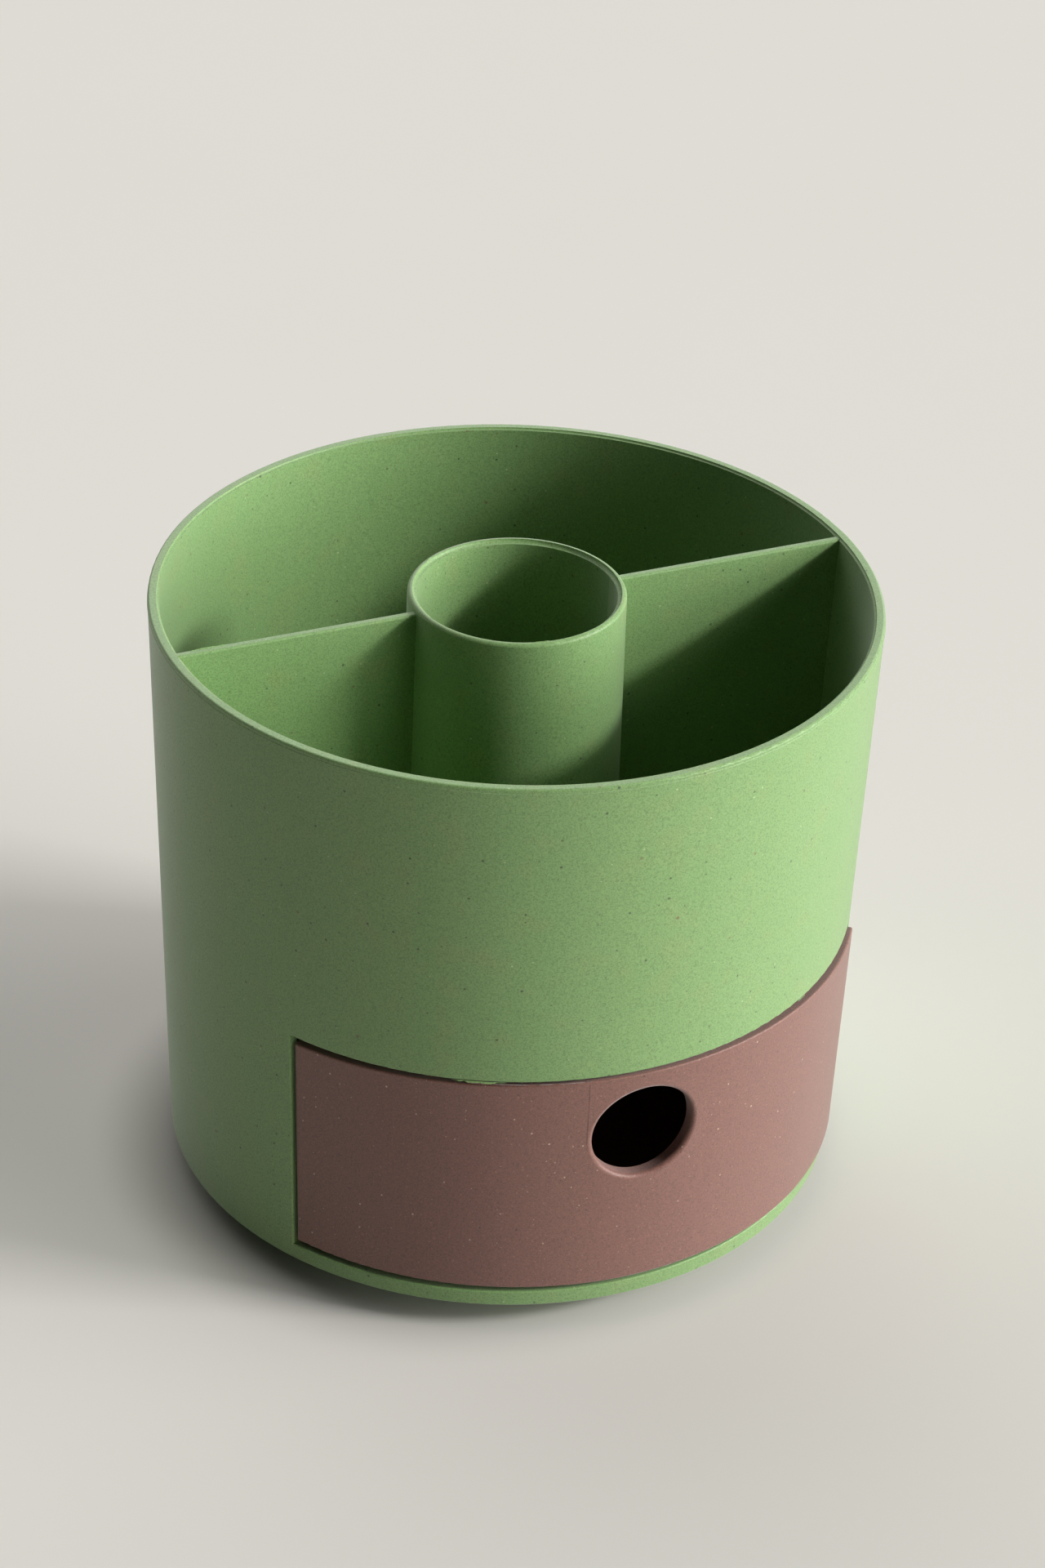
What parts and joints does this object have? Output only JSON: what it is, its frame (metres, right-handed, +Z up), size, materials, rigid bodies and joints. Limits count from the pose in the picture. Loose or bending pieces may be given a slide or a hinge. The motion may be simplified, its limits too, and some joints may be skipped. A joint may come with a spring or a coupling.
{
  "type": "rotating desk organizer",
  "caption": "Round desk organizer on a turntable: a tapered open tub with a divider and a central pen cup above curved pull-out drawers with finger holes.",
  "frame": {"origin": "on the desk under the middle of the turntable, z = 0 at the undersides of the feet", "axes": "+Z up along the turning axis, -Y toward the front drawer's pull, +X to the right seen from that drawer"},
  "size_m": [0.15, 0.15, 0.1341],
  "materials": {
    "green_plastic": "satin moulded plastic with fine plant-fibre specks",
    "brown_plastic": "satin moulded plastic with fine pale specks",
    "cage_plastic": "smooth natural acetal",
    "bearing_steel": "polished balls",
    "screw_steel": "zinc plated",
    "foot_rubber": "matt black rubber"
  },
  "bodies": {
    "stand": {"turntable_base": "green_plastic", "rubber_foot_1": "foot_rubber", "rubber_foot_2": "foot_rubber", "rubber_foot_3": "foot_rubber", "rubber_foot_4": "foot_rubber"},
    "housing": {"body_shell": "green_plastic", "floor_plate": "green_plastic", "floor_plate_screws": "screw_steel", "pivot_screw": "screw_steel", "pivot_washer": "screw_steel"},
    "ball_race": {"ball_cage": "cage_plastic", "bearing_balls": "bearing_steel"},
    "front_tray": {"front_drawer": "brown_plastic"},
    "rear_tray": {"rear_drawer": "brown_plastic"}
  },
  "joints": [
    {"name": "turntable_spin", "type": "hinge", "parent": "stand", "child": "housing", "pos_m": [0, 0, 0], "axis": [0, 0, 1], "continuous": true},
    {"name": "ball_race_spin", "type": "hinge", "parent": "stand", "child": "ball_race", "pos_m": [0, 0, 0], "axis": [0, 0, 1], "continuous": true},
    {"name": "front_drawer_slide", "type": "slide", "parent": "housing", "child": "front_tray", "axis": [0, -1, 0], "range_m": [0, 0.05]},
    {"name": "rear_drawer_slide", "type": "slide", "parent": "housing", "child": "rear_tray", "axis": [0, 1, 0], "range_m": [0, 0.05]}
  ],
  "couplings": [
    {"joint": "ball_race_spin", "follows": "turntable_spin", "ratio": 0.5}
  ]
}
